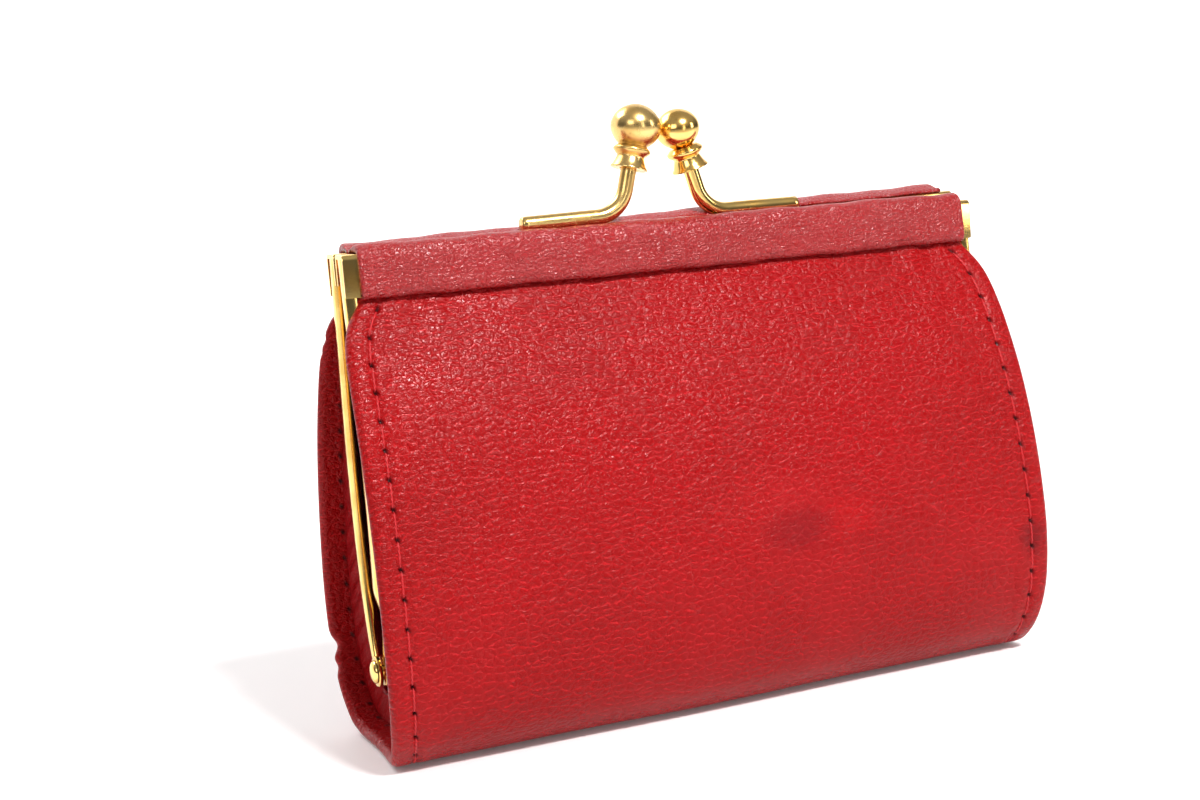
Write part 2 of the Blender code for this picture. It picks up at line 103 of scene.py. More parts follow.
class Graph:
    """A material's nodes, with short calls to add and link them."""

    def __init__(self, name, base, roughness, metallic=0.0):
        self.material = bpy.data.materials.new(name)
        self.material.use_nodes = True
        self.tree = self.material.node_tree
        self.shader = self.tree.nodes["Principled BSDF"]
        self.set(self.shader, "Base Color", (*base, 1.0))
        self.set(self.shader, "Roughness", roughness)
        self.set(self.shader, "Metallic", metallic)

    def set(self, node, socket, value):
        """Links the value if it is another node's output, and otherwise stores it in the socket."""
        if isinstance(value, bpy.types.NodeSocket):
            self.tree.links.new(value, node.inputs[socket])
        else:
            node.inputs[socket].default_value = value

    def node(self, kind, properties=None, **sockets):
        made = self.tree.nodes.new(kind)
        for key, value in (properties or {}).items():
            setattr(made, key, value)
        for key, value in sockets.items():
            self.set(made, key.replace("_", " "), value)
        return made

    def numbered(self, kind, properties, sockets):
        """A node whose inputs are set by number."""
        made = self.node(kind, properties)
        for index, value in sockets.items():
            self.set(made, index, value)
        return made

    def math(self, operation, a, b):
        return self.numbered("ShaderNodeMath", {"operation": operation}, {0: a, 1: b}).outputs[0]

    def span(self, value, low, high, to_low=0.0, to_high=1.0):
        """Low to high, mapped smoothly to to_low to to_high."""
        sockets = dict(enumerate((value, low, high, to_low, to_high)))
        return self.numbered("ShaderNodeMapRange", {"interpolation_type": "SMOOTHSTEP"}, sockets).outputs[0]

    def mix(self, share, a, b):
        """Colour a where share is 0, and b where it is 1."""
        a, b = ((*c, 1.0) if isinstance(c, tuple) else c for c in (a, b))
        return self.numbered("ShaderNodeMix", {"data_type": "RGBA"}, {0: share, 6: a, 7: b}).outputs[2]

    def vector_math(self, operation, *vectors):
        sockets = dict(enumerate(vectors))
        return self.numbered("ShaderNodeVectorMath", {"operation": operation}, sockets).outputs

    def scaled(self, vector, scale):
        return self.vector_math("MULTIPLY", vector, scale)[0]

    def moved(self, vector, offset):
        return self.vector_math("ADD", vector, offset)[0]

    def noise(self, vector, scale, detail=3.0, colour=False):
        made = self.node("ShaderNodeTexNoise", Vector=vector, Scale=scale, Detail=detail)
        return made.outputs["Color" if colour else "Fac"]

    def bump(self, height, distance, strength=1.0, normal=None):
        made = self.node("ShaderNodeBump", Height=height, Distance=distance, Strength=strength)
        if normal is not None:
            self.set(made, "Normal", normal)
        return made.outputs["Normal"]

    def attribute(self, name, output="Vector"):
        return self.node("ShaderNodeAttribute", {"attribute_name": name}).outputs[output]

    def place(self):
        return self.node("ShaderNodeTexCoord").outputs["Object"]

    def finish(self, colour, roughness, normal=None):
        self.set(self.shader, "Base Color", colour)
        self.set(self.shader, "Roughness", roughness)
        if normal is not None:
            self.set(self.shader, "Normal", normal)
        return self.material


def cell_edges(graph, place, cell, randomness):
    """Distance to the nearest crease of a net of cells of about this size."""
    cells = graph.scaled(place, (1 / cell[0], 1 / cell[1], 1.0))
    edges = graph.node("ShaderNodeTexVoronoi", {"feature": "DISTANCE_TO_EDGE", "voronoi_dimensions": "2D"},
                       Vector=cells, Scale=1.0, Randomness=randomness)
    return edges.outputs["Distance"]


# Noise that bends the leather's cells out of line: frequency, and reach along x and s
CELL_WARPS = ((420.0, (1.5 * MM, 0.9 * MM, 0.0)), (1900.0, (0.75 * MM, 0.60 * MM, 0.0)))
CELL_RANDOMNESS = 0.85
CRINKLE_CELL = (0.50 * MM, 0.34 * MM)
# Painted shade in the stitch holes: they are coloured near-black
HOLE_SHADE_COLOUR = (0.020, 0.001, 0.002)
COAT_WEIGHT = 0.10
COAT_ROUGHNESS = 0.26


def leather_material(name, cell, base, line_and_highlight_colour, depth, gloss, worn=False):
    """Pebbled leather: cells stretched along X, with pale lines along the creases and a painted highlight on
    each pebble's upper rim, as if light from above caught it.
    """
    graph = Graph(name, base, 0.4)
    flat = graph.attribute("flat")
    place = flat
    for frequency, reach in CELL_WARPS:
        warp = graph.noise(flat, frequency, 2.0, colour=True)
        place = graph.moved(place, graph.scaled(warp, reach))
    edge = cell_edges(graph, place, cell, CELL_RANDOMNESS)
    a_bit_higher = graph.moved(place, (0.0, 0.13 * cell[1], 0.0))
    edge_above = cell_edges(graph, a_bit_higher, cell, CELL_RANDOMNESS)

    # Relief: round pebbles, a finer crinkle, and grit
    crinkle = graph.span(cell_edges(graph, place, CRINKLE_CELL, 1.0), 0.0, 0.25)
    pebble = graph.span(edge, 0.0, 0.36)
    grit = graph.noise(flat, 6500.0, 3.0)
    height = graph.math("ADD", graph.math("MULTIPLY", pebble, 0.85), graph.math("MULTIPLY", crinkle, 0.40))
    height = graph.math("ADD", height, graph.math("MULTIPLY", grit, 0.12))
    normal = graph.bump(height, depth)

    # Pale lines along the creases, and a painted highlight on each pebble's upper rim where light from above
    # would catch
    rim_highlight = graph.span(graph.math("SUBTRACT", edge_above, edge), 0.02, 0.13)
    line = graph.span(edge, 0.05, 0.20, 1.0, 0.0)
    mottled = graph.span(graph.noise(flat, 1300.0, 2.0), 0.36, 0.60, 0.15, 1.0)
    lines_and_highlight = graph.math("MULTIPLY", graph.math("MULTIPLY", rim_highlight, line), mottled)
    lines_and_highlight = graph.math("ADD", graph.math("MULTIPLY", lines_and_highlight, 0.75), graph.math("MULTIPLY", line, 0.14))

    # Dye: slow patches and a fine speckle
    patchy = graph.span(graph.noise(flat, 55.0, 3.0), 0.35, 0.70)
    speckle = graph.span(graph.noise(flat, 2600.0, 3.0), 0.40, 0.75)
    dark = tuple(0.70 * c for c in base)
    shade = graph.mix(graph.math("MULTIPLY", patchy, 0.40), base, dark)
    shade = graph.mix(graph.math("MULTIPLY", speckle, 0.35), shade, dark)
    # Pale crease lines and the painted rim highlight, mixed into the dye
    colour = graph.mix(lines_and_highlight, shade, line_and_highlight_colour)
    if worn:
        colour = with_wear(graph, flat, colour)
    # Painted shade: the stitch holes are coloured near-black
    colour = graph.mix(graph.attribute("hole_shade", "Fac"), colour, HOLE_SHADE_COLOUR)
    graph.set(graph.shader, "Specular IOR Level", gloss)
    graph.set(graph.shader, "Coat Weight", COAT_WEIGHT)
    graph.set(graph.shader, "Coat Roughness", COAT_ROUGHNESS)
    graph.set(graph.shader, "Coat Normal", graph.bump(height, 0.5 * depth))
    return graph.finish(colour, graph.span(patchy, 0.0, 1.0, 0.23, 0.32), normal)


# Each mark on the front: its middle and its reach along x and s, its colour and its strength
WEAR_MARKS = (
    ((0.0050, 0.0350), (0.0110, 0.0055), (0.50, 0.022, 0.024), 0.12),  # a paler haze
    ((0.0160, 0.0378), (0.0060, 0.0036), (0.50, 0.004, 0.008), 0.26),  # a bright patch
    ((0.0086, 0.0386), (0.0064, 0.0036), (0.19, 0.002, 0.005), 0.50),  # a dark stain
    ((0.0445, 0.0455), (0.0026, 0.0030), (0.10, 0.004, 0.006), 0.50),  # a rubbed spot at the right hem
)


def with_wear(graph, flat, colour):
    """The marks of use on the front, with ragged edges."""
    for middle, reach, tone, strength in WEAR_MARKS:
        centred = graph.moved(flat, (-middle[0], -middle[1], 0.0))
        local = graph.scaled(centred, (1 / reach[0], 1 / reach[1], 0.0))
        raggedness = graph.scaled(graph.noise(flat, 260.0, 4.0, colour=True), (0.9, 0.9, 0.0))
        ragged = graph.moved(graph.moved(local, raggedness), (-0.45, -0.45, 0.0))
        distance = graph.vector_math("LENGTH", ragged)["Value"]
        mask = graph.span(distance, 0.25, 1.15, strength, 0.0)
        colour = graph.mix(mask, colour, tone)
    return colour


def brass_material(name, base, dark, roughness):
    """Polished brass with a soft cloudiness, fine rubbing marks and a few darker spots."""
    graph = Graph(name, base, roughness, 1.0)
    place = graph.place()
    cloud = graph.noise(place, 260.0, 4.0)
    spots = graph.span(graph.noise(place, 900.0, 3.0), 0.62, 0.78)
    colour = graph.mix(graph.span(cloud, 0.40, 0.72), base, dark)
    colour = graph.mix(graph.math("MULTIPLY", spots, 0.35), colour, tuple(0.5 * c for c in dark))
    rough = graph.span(cloud, 0.30, 0.75, roughness * 0.75, roughness * 1.5)
    marks = graph.noise(graph.scaled(place, (1.0, 1.0, 9.0)), 1500.0, 2.0)
    normal = graph.bump(marks, 0.000006, 0.6, graph.bump(cloud, 0.00004, 0.5))
    return graph.finish(colour, rough, normal)


def plain_material(name, base, dark, roughness, scale, depth):
    """A matt material with a fine two-scale mottle, for linings, boards and paper."""
    graph = Graph(name, base, roughness)
    place = graph.place()
    coarse = graph.noise(place, scale * 0.2, 4.0)
    fine = graph.noise(place, scale, 4.0)
    colour = graph.mix(graph.span(coarse, 0.35, 0.65), base, dark)
    rough = graph.span(fine, 0.3, 0.7, roughness - 0.08, roughness + 0.08)
    return graph.finish(colour, rough, graph.bump(fine, depth, 0.6))


def thread_material():
    """Waxed thread: two plies that twist round each other along the stitch."""
    graph = Graph("stitch_thread", (0.50, 0.020, 0.026), 0.5)
    plies = graph.node("ShaderNodeTexWave", {"bands_direction": "DIAGONAL"}, Vector=graph.attribute("flat"),
                       Scale=900.0, Distortion=0.4).outputs["Fac"]
    colour = graph.mix(plies, (0.34, 0.008, 0.012), (0.58, 0.030, 0.036))
    return graph.finish(colour, graph.span(plies, 0.0, 1.0, 0.6, 0.42), graph.bump(plies, 0.00004, 0.8))


def backdrop_material():
    """White paper that glows as painted light, faintly under the purse and more far behind it, and is painted
    grey well in front of it as painted shade that dims what the leather reflects.
    """
    graph = Graph("white_backdrop", (0.86, 0.855, 0.855), 0.6)
    place = graph.place()
    depth = graph.numbered("ShaderNodeSeparateXYZ", {}, {0: place}).outputs["Y"]
    cloud = graph.noise(place, 9.0, 3.0)
    colour = graph.mix(cloud, (0.85, 0.845, 0.845), (0.88, 0.875, 0.875))
    # Painted shade: the paper well in front of the purse is grey, so the leather reflects less light
    front_shade_share = graph.span(depth, -0.22, -0.10, 1.0, 0.0)
    colour = graph.mix(front_shade_share, colour, (0.34, 0.335, 0.33))
    # Painted light: the paper glows, faintly under the purse and more far behind it
    graph.set(graph.shader, "Emission Color", (1.0, 0.99, 0.99, 1.0))
    graph.set(graph.shader, "Emission Strength", graph.span(depth, 0.10, 0.8, 0.10, 0.80))
    graph.set(graph.shader, "Specular IOR Level", 0.15)
    return graph.finish(colour, graph.span(cloud, 0.3, 0.7, 0.50, 0.62))


# Each leather's red, and its pale colour for the crease lines and for the painted highlight on the pebbles'
# upper rims
RED = (0.315, 0.0012, 0.0026)
PALE_LINE_AND_HIGHLIGHT_RED = (0.50, 0.015, 0.020)
BAR_RED = (0.32, 0.0016, 0.0034)
PALE_BAR_LINE_AND_HIGHLIGHT_RED = (0.44, 0.014, 0.018)
GUSSET_RED = (0.34, 0.0030, 0.0060)
PALE_GUSSET_LINE_AND_HIGHLIGHT_RED = (0.42, 0.020, 0.026)
PANEL_CELL = (1.42 * MM, 0.95 * MM)
PANEL_GRAIN_DEPTH = 0.095 * MM
PANEL_GLOSS = 0.20
PANEL_LOOK = (PANEL_CELL, RED, PALE_LINE_AND_HIGHLIGHT_RED, PANEL_GRAIN_DEPTH, PANEL_GLOSS)
PANEL_LEATHER = leather_material("panel_leather", *PANEL_LOOK, worn=True)
BACK_LEATHER = leather_material("back_leather", *PANEL_LOOK)
BAR_LEATHER = leather_material("bar_leather", (0.80 * MM, 0.60 * MM), BAR_RED, PALE_BAR_LINE_AND_HIGHLIGHT_RED, 0.00009, 0.75)
GUSSET_LEATHER = leather_material("gusset_leather", (0.80 * MM, 0.65 * MM), GUSSET_RED, PALE_GUSSET_LINE_AND_HIGHLIGHT_RED,
                                  0.00005, 0.20)
BRASS = brass_material("polished_brass", (0.95, 0.69, 0.27), (0.84, 0.54, 0.17), 0.15)
DULL_BRASS = brass_material("worn_brass", (0.88, 0.64, 0.28), (0.70, 0.46, 0.16), 0.24)
LINING = plain_material("brown_lining", (0.085, 0.020, 0.012), (0.050, 0.012, 0.008), 0.55, 2600.0, 0.00005)
BOARD = plain_material("stiffener_board", (0.46, 0.38, 0.28), (0.36, 0.29, 0.21), 0.9, 1800.0, 0.00006)
PAPER = plain_material("packing_paper", (0.66, 0.58, 0.44), (0.52, 0.44, 0.33), 0.9, 1500.0, 0.00008)
THREAD = thread_material()


# ---------------------------------------------------------------- mesh helpers

def link_mesh(name, mesh, material):
    made = bpy.data.objects.new(name, mesh)
    bpy.context.scene.collection.objects.link(made)
    mesh.materials.append(material)
    return made


def weld_and_smooth(mesh, distance=1e-7, sharp=None):
    """Joins points closer than distance, turns the faces outward, and shades smooth up to the sharp angle."""
    shape = bmesh.new()
    shape.from_mesh(mesh)
    bmesh.ops.remove_doubles(shape, verts=shape.verts, dist=distance)
    bmesh.ops.dissolve_degenerate(shape, edges=shape.edges, dist=1e-8)
    bmesh.ops.recalc_face_normals(shape, faces=shape.faces)
    shape.to_mesh(mesh)
    shape.free()
    mesh.shade_smooth()
    if sharp is not None:
        mesh.set_sharp_from_angle(angle=math.radians(sharp))


def skew(mesh, side):
    """Tilts a half's mesh by its SKEW, from nothing at the hinge to the full amount at the bar."""
    points = np.empty(len(mesh.vertices) * 3, np.float32)
    mesh.vertices.foreach_get("co", points)
    points = points.reshape(-1, 3)
    rise = smoothstep(HINGE_Z, FRAME_TOP, points[:, 2])
    points[:, 2] += SKEW[side] * (points[:, 0] + FRAME_END) * rise
    mesh.vertices.foreach_set("co", points.ravel())
    mesh.update()


def add_attribute(mesh, name, kind, values):
    attribute = mesh.attributes.new(name, kind, "POINT")
    key = "vector" if kind == "FLOAT_VECTOR" else "value"
    attribute.data.foreach_set(key, np.ascontiguousarray(values, np.float32).ravel())


def shell(name, outer, inner, flat, hole_shade=None):
    """A closed skin from matching grids (rows, columns, 3) of outer and inner points."""
    rows, columns = outer.shape[:2]
    count = rows * columns
    points = np.concatenate([outer.reshape(-1, 3), inner.reshape(-1, 3)])
    index = np.arange(count).reshape(rows, columns)

    def quads(a, b, c, d):
        return np.stack([a.ravel(), b.ravel(), c.ravel(), d.ravel()], 1)

    faces = [quads(index[:-1, :-1], index[:-1, 1:], index[1:, 1:], index[1:, :-1])]
    faces.append(faces[0][:, ::-1] + count)
    for line in (index[0], index[-1][::-1], index[::-1, 0], index[:, -1]):
        faces.append(quads(line[1:], line[:-1], line[:-1] + count, line[1:] + count))
    mesh = bpy.data.meshes.new(name)
    mesh.from_pydata(points.tolist(), [], np.concatenate(faces).tolist())
    flat = np.concatenate([flat.reshape(-1, 3)] * 2)
    add_attribute(mesh, "flat", "FLOAT_VECTOR", flat)
    # The share of painted shade in the stitch holes at each point
    hole_shade = np.zeros(count) if hole_shade is None else hole_shade.ravel()
    add_attribute(mesh, "hole_shade", "FLOAT", np.concatenate([hole_shade, hole_shade]))
    weld_and_smooth(mesh)
    return mesh


def smooth_path(points, step):
    """An even resampling of a Catmull-Rom curve through the points."""
    points = np.asarray(points, float)
    padded = np.vstack([2 * points[0] - points[1], points, 2 * points[-1] - points[-2]])
    dense = []
    for i in range(len(points) - 1):
        a, b, c, d = padded[i:i + 4]
        t = np.linspace(0, 1, 40, endpoint=False)[:, None]
        dense.append(0.5 * (2 * b + (c - a) * t + (2 * a - 5 * b + 4 * c - d) * t ** 2
                            + (3 * b - a - 3 * c + d) * t ** 3))
    dense = np.vstack(dense + [points[-1:]])
    length = np.concatenate([[0], np.cumsum(np.linalg.norm(np.diff(dense, axis=0), axis=1))])
    count = max(2, round(length[-1] / step)) + 1
    even = np.linspace(0, length[-1], count)
    return np.stack([np.interp(even, length, dense[:, k]) for k in range(points.shape[1])], 1), even


def smoothstep(low, high, value):
    t = np.clip((value - low) / (high - low), 0, 1)
    return t * t * (3 - 2 * t)


def ring_faces(rings, sides):
    """Faces of a tube made of this many rings of points, with a flat end either side."""
    faces = []
    for ring in range(rings - 1):
        for k in range(sides):
            low = ring * sides + k
            high = ring * sides + (k + 1) % sides
            faces.append((low, high, high + sides, low + sides))
    faces.append(tuple(range(sides))[::-1])
    faces.append(tuple(range((rings - 1) * sides, rings * sides)))
    return faces


def merge_meshes(name, parts):
    """One mesh from several lists of points and faces."""
    points = []
    faces = []
    for part_points, part_faces in parts:
        start = len(points)
        points.extend(tuple(p) for p in part_points)
        faces.extend(tuple(i + start for i in face) for face in part_faces)
    mesh = bpy.data.meshes.new(name)
    mesh.from_pydata(points, [], faces)
    return mesh


def tube_points(centres, radii, sides):
    """A round tube with flat ends, as points and faces."""
    centres = np.asarray(centres, float)
    tangents = np.gradient(centres, axis=0)
    tangents /= np.linalg.norm(tangents, axis=1, keepdims=True)
    across = np.cross(tangents[0], (0.13, 0.31, 0.94))
    angles = [math.tau * k / sides for k in range(sides)]
    points = []
    for centre, tangent, radius in zip(centres, tangents, radii):
        across = across - tangent * np.dot(across, tangent)
        across /= np.linalg.norm(across)
        upward = np.cross(tangent, across)
        points += [centre + radius * (across * math.cos(t) + upward * math.sin(t)) for t in angles]
    return points, ring_faces(len(centres), sides)


def lathe(name, profile, segments, matrix, sharp=40):
    """A turned solid from (radius, height) points, top to bottom, both ends on the axis."""
    points = []
    faces = []
    rings = []
    for radius, height in profile:
        start = len(points)
        if radius < 1e-9:
            points.append(matrix @ Vector((0, 0, height)))
            rings.append([start] * segments)
            continue
        for k in range(segments):
            angle = math.tau * k / segments
            points.append(matrix @ Vector((radius * math.cos(angle), radius * math.sin(angle), height)))
        rings.append(list(range(start, start + segments)))
    for upper, lower in zip(rings, rings[1:]):
        for k in range(segments):
            corners = [upper[k], lower[k], lower[(k + 1) % segments], upper[(k + 1) % segments]]
            face = tuple(dict.fromkeys(corners))
            if len(face) > 2:
                faces.append(face)
    mesh = bpy.data.meshes.new(name)
    mesh.from_pydata([tuple(p) for p in points], [], faces)
    weld_and_smooth(mesh, sharp=sharp)
    return mesh


# ---------------------------------------------------------------- section of the sling

# The outer face from the bar to the middle of the base, as (depth, height) in millimetres
SECTION_KEYS = [(3.9, 60.2), (4.1, 58.6), (4.9, 56.6), (6.9, 52.6), (9.6, 47.0), (12.4, 39.5), (14.5, 31.0),
                (15.75, 22.0), (15.9, 15.5), (15.2, 9.6), (13.3, 4.7), (10.6, 1.5), (7.8, 0.25), (5.0, 0.0),
                (2.5, 0.0), (0.0, 0.0)]
KEYED_BELLY = 16.1 * MM
SECTION_SCALE = np.array([BELLY / KEYED_BELLY, 1.0]) * MM
SECTION, SECTION_S = smooth_path(np.array(SECTION_KEYS) * SECTION_SCALE, 0.27 * MM)
SECTION[:, 1] = np.maximum(SECTION[:, 1], 0.0)
# The hem's distance from the middle at arc lengths down the section, in millimetres
WIDTH_KEYS = [(0.0, 43.0), (2.2, 43.6), (3.6, 44.5), (5.2, 45.4), (7.5, 46.1), (11.0, 46.5), (18.0, 46.8),
              (30.0, 47.1), (45.0, 47.3), (55.0, 47.1), (62.0, 46.6), (70.0, 45.9), (90.0, 45.6)]
KEYED_HEM_HALF_WIDTH = 47.9 * MM


def half_width(s):
    """The hem's distance from the middle at arc length s."""
    dense, _ = smooth_path(np.array(WIDTH_KEYS) * MM, 0.3 * MM)
    return np.interp(s, dense[:, 0], dense[:, 1]) * (HEM_HALF_WIDTH / KEYED_HEM_HALF_WIDTH)


def path_normal(path):
    """Unit normals that point out of the purse, for (depth, height) points that run down its outside."""
    tangent = np.gradient(path, axis=0)
    tangent /= np.linalg.norm(tangent, axis=1, keepdims=True)
    return np.stack([-tangent[:, 1], tangent[:, 0]], 1)


SECTION_NORMAL = path_normal(SECTION)


def bend(piece):
    """Bakes the piece's transform into its mesh."""
    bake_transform(piece)


def section_point(side, x, s, lift):
    """A point on the sling at x and arc length s, raised off its outer face."""
    depth = np.interp(s, SECTION_S, SECTION[:, 0]) + lift * np.interp(s, SECTION_S, SECTION_NORMAL[:, 0])
    z = np.interp(s, SECTION_S, SECTION[:, 1]) + lift * np.interp(s, SECTION_S, SECTION_NORMAL[:, 1])
    return np.stack(np.broadcast_arrays(x, side * depth, z), -1)


def hole_places():
    """Arc lengths of the stitch holes down a hem."""
    count = int((SECTION_S[-1] - FIRST_HOLE) / STITCH_PITCH) + 1
    return [FIRST_HOLE + STITCH_PITCH * i for i in range(count)]


# ---------------------------------------------------------------- sling

def edge_columns():
    """Distances in from the hem's edge: a rounded edge, then a fine band over the seam."""
    radius = HEM_THICKNESS / 2
    rounded = [radius * (1 - math.cos(a)) for a in np.linspace(0, math.pi / 2, 8)]
    band = np.arange(radius + 0.15 * MM, 5.2 * MM, 0.15 * MM)
    return np.concatenate([rounded, band])


def edge_drop(inset, thickness):
    """How far the rounded edge falls away from the outer face."""
    radius = thickness / 2
    reach = np.clip(1 - inset / radius, 0, 1)
    return radius * (1 - np.sqrt(1 - reach ** 2))


def relief(x, inset, s, side):
    """Seam groove, puffed leather either side of it, stitch holes, and slow waves over the panel.

    It returns the height of the relief and the share of a stitch hole at each point.
    """
    x_mm = x / MM
    s_mm = s / MM
    offset = (inset - SEAM_INSET) / MM
    phase = (s - FIRST_HOLE) / STITCH_PITCH
    nearest_hole = np.round(phase) * STITCH_PITCH + FIRST_HOLE
    to_hole = np.abs(phase - np.round(phase)) * STITCH_PITCH / MM

    groove = -0.11 * np.exp(-(offset / 0.38) ** 2) * (1 - 0.35 * np.exp(-(to_hole / 0.9) ** 2))
    puff = 0.13 * np.exp(-((offset - 1.35) / 0.75) ** 2) + 0.10 * np.exp(-((offset + 1.3) / 0.7) ** 2)
    puff *= 0.72 + 0.28 * np.cos(math.tau * phase + math.pi)

    # The holes are slanted, and the row starts just below the bar.
    slant = s_mm - nearest_hole / MM + 0.55 * offset * np.sign(x)
    hole = np.exp(-(offset / 0.27) ** 2 - (slant / 0.30) ** 2)
    hole *= smoothstep(1.8 * MM, 3.4 * MM, s) * (inset < 4.6 * MM)

    waves = (0.16 * np.sin(0.055 * x_mm + 1.1 * side) * np.sin(0.075 * s_mm + 0.6)
             + 0.07 * np.sin(0.16 * x_mm + 0.05 * s_mm + side)
             + 0.05 * np.sin(0.09 * x_mm - 0.21 * s_mm + 2.0))
    waves *= smoothstep(0.0, 12 * MM, inset)
    # Short pulls where the leather is gathered into the bar's ends
    pull = 0.16 * np.exp(-(s_mm - 3.0) / 5.0) * np.sin(1.15 * np.abs(x_mm) + 0.8 * np.sin(0.31 * x_mm))
    pull *= smoothstep(24 * MM, 43 * MM, np.abs(x)) * smoothstep(3.5 * MM, 6 * MM, inset)
    crown = 0.25 * smoothstep(2.0 * MM, 16 * MM, inset) * np.sin(np.clip(s / SECTION_S[-1], 0, 1) * math.pi)
    return (groove + puff + waves + pull + crown) * MM - 0.50 * MM * hole, hole


# Pinches of the back's left hem: arc length, depth and width in millimetres. The third is a deep tuck.
HEM_PINCHES = ((7.5, 0.30, 0.8), (9.3, 0.16, 0.6), (51.5, 0.85, 1.3), (54.5, 0.4, 0.9))


def hem_creases(inset, s, side, end):
    """How far the pinches pull the folded edge in."""
    total = np.zeros_like(s)
    if side == BACK and end < 0:
        near_edge = np.exp(-(inset / (1.6 * MM)) ** 2)
        for place, depth, width in HEM_PINCHES:
            total += depth * MM * np.exp(-((s / MM - place) / width) ** 2) * near_edge
    return total


CENTRE_COLUMNS = 205
WIDEST_S = 40 * MM
LEAST_RELIEF_ON_FLOOR = 0.25
# Moves the back's grain to another part of the pattern
BACK_GRAIN_SHIFT = np.array([0.137, 0.211, 0.0])


def make_sling(half, side):
    """One half of the outer leather, from the bar to the middle of the base."""
    columns = edge_columns()
    inner_reach = half_width(np.array([WIDEST_S]))[0] - columns[-1]
    centre = np.linspace(-inner_reach, inner_reach, CENTRE_COLUMNS)[1:-1]
    widths = half_width(SECTION_S)[:, None]
    scale = (widths - columns[-1]) / inner_reach
    left = columns[None, :] - widths
    right = widths - columns[None, ::-1]
    x = np.concatenate([left, centre[None, :] * scale, right], 1)
    inset = widths - np.abs(x)
    s = np.broadcast_to(SECTION_S[:, None], x.shape)
    height, hole = relief(x, inset, s, side)
    for end in ENDS.values():
        tuck = hem_creases(inset, s, side, end) * (np.sign(x) == end)
        x = x - end * tuck

    hem = 1 - smoothstep(HEM_WIDTH, HEM_WIDTH + 0.5 * MM, inset)
    thickness = PANEL_THICKNESS + (HEM_THICKNESS - PANEL_THICKNESS) * hem
    drop = edge_drop(inset, HEM_THICKNESS)
    off_floor = smoothstep(0.0, 1.2 * MM, SECTION[:, 1])[:, None]
    outer = section_point(side, x, s, height * np.maximum(off_floor, LEAST_RELIEF_ON_FLOOR) - drop)
    inner = section_point(side, x, s, drop - thickness)
    outer[..., 2] = np.maximum(outer[..., 2], 0.0)
    inner[..., 2] = np.maximum(inner[..., 2], outer[..., 2])
    flat = np.stack([x, s, np.zeros_like(x)], -1)
    if side == BACK:
        flat = flat + BACK_GRAIN_SHIFT
    # The stitch holes' share, made stronger, sets their painted shade
    mesh = shell(f"sling_{half}", outer, inner, flat, np.clip(hole * 1.5, 0, 1))
    skew(mesh, side)
    sling = link_mesh(f"sling_{half}", mesh, PANEL_LEATHER if side == FRONT else BACK_LEATHER)
    bend(sling)
    if side == FRONT:
        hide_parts("front_panel", "base_panel")
    else:
        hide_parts("back_panel")


def make_stitches(half, side, end_name, end):
    """Each stitch is its own short thread that dips into a hole at either end."""
    holes = hole_places()
    steps = np.linspace(0, 1, 9)
    end_inset = np.zeros(len(steps))
    end_inset[0] = STITCH_END_INSET
    end_inset[-1] = -STITCH_END_INSET
    lift = (-0.12 - 0.50 * np.abs(2 * steps - 1) ** 6) * MM
    slant = 0.10 * MM * (steps - 0.5)
    radii = THREAD_RADIUS * (0.75 + 0.25 * np.sin(math.pi * steps) ** 0.5)
    around = [0.5 * MM * math.cos(math.tau * k / THREAD_SIDES) for k in range(THREAD_SIDES)]
    parts = []
    flats = []
    for start, stop in zip(holes, holes[1:]):
        s = start + (stop - start) * steps + end_inset
        centres = section_point(side, end * (half_width(s) - SEAM_INSET + slant), s, lift)
        centres[:, 2] = np.maximum(centres[:, 2], THREAD_RADIUS + 0.02 * MM)
        parts.append(tube_points(centres, radii, THREAD_SIDES))
        flats += [(place, turn, 0.0) for place in s for turn in around]
    name = f"{half}_{end_name}_stitches"
    mesh = merge_meshes(name, parts)
    add_attribute(mesh, "flat", "FLOAT_VECTOR", np.array(flats))
    mesh.shade_smooth()
    skew(mesh, side)
    stitches = link_mesh(name, mesh, THREAD)
    bend(stitches)
    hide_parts(f"{half}_{end_name}_thread")


# ---------------------------------------------------------------- line of the frame's legs

LEG_WIDTH = 2.3 * MM
LEG_TOP_DEPTH = 2.1 * MM
LEG_BOW = 3.2 * MM
EAR_RADIUS = 2.0 * MM


def leg_depth(z):
    """Depth of a leg's middle line: it bows out between the hinge and the bar."""
    along = np.clip((z - HINGE_Z) / (FRAME_TOP - HINGE_Z), 0, 1)
    return LEG_TOP_DEPTH * along + LEG_BOW * np.sin(math.pi * along ** 0.66)


def leg_line(low_z, high_z, count):
    """The leg's middle line from the top down, as (depth, height) points."""
    z = np.linspace(high_z, low_z, count)
    return np.stack([leg_depth(z), z], 1)


# ---------------------------------------------------------------- gussets

GUSSET_ROWS = 190
GUSSET_COLUMNS = 26
HEEL_RADIUS = 3.1 * MM
GUSSET_FLOOR_CLEARANCE = 1.7 * MM


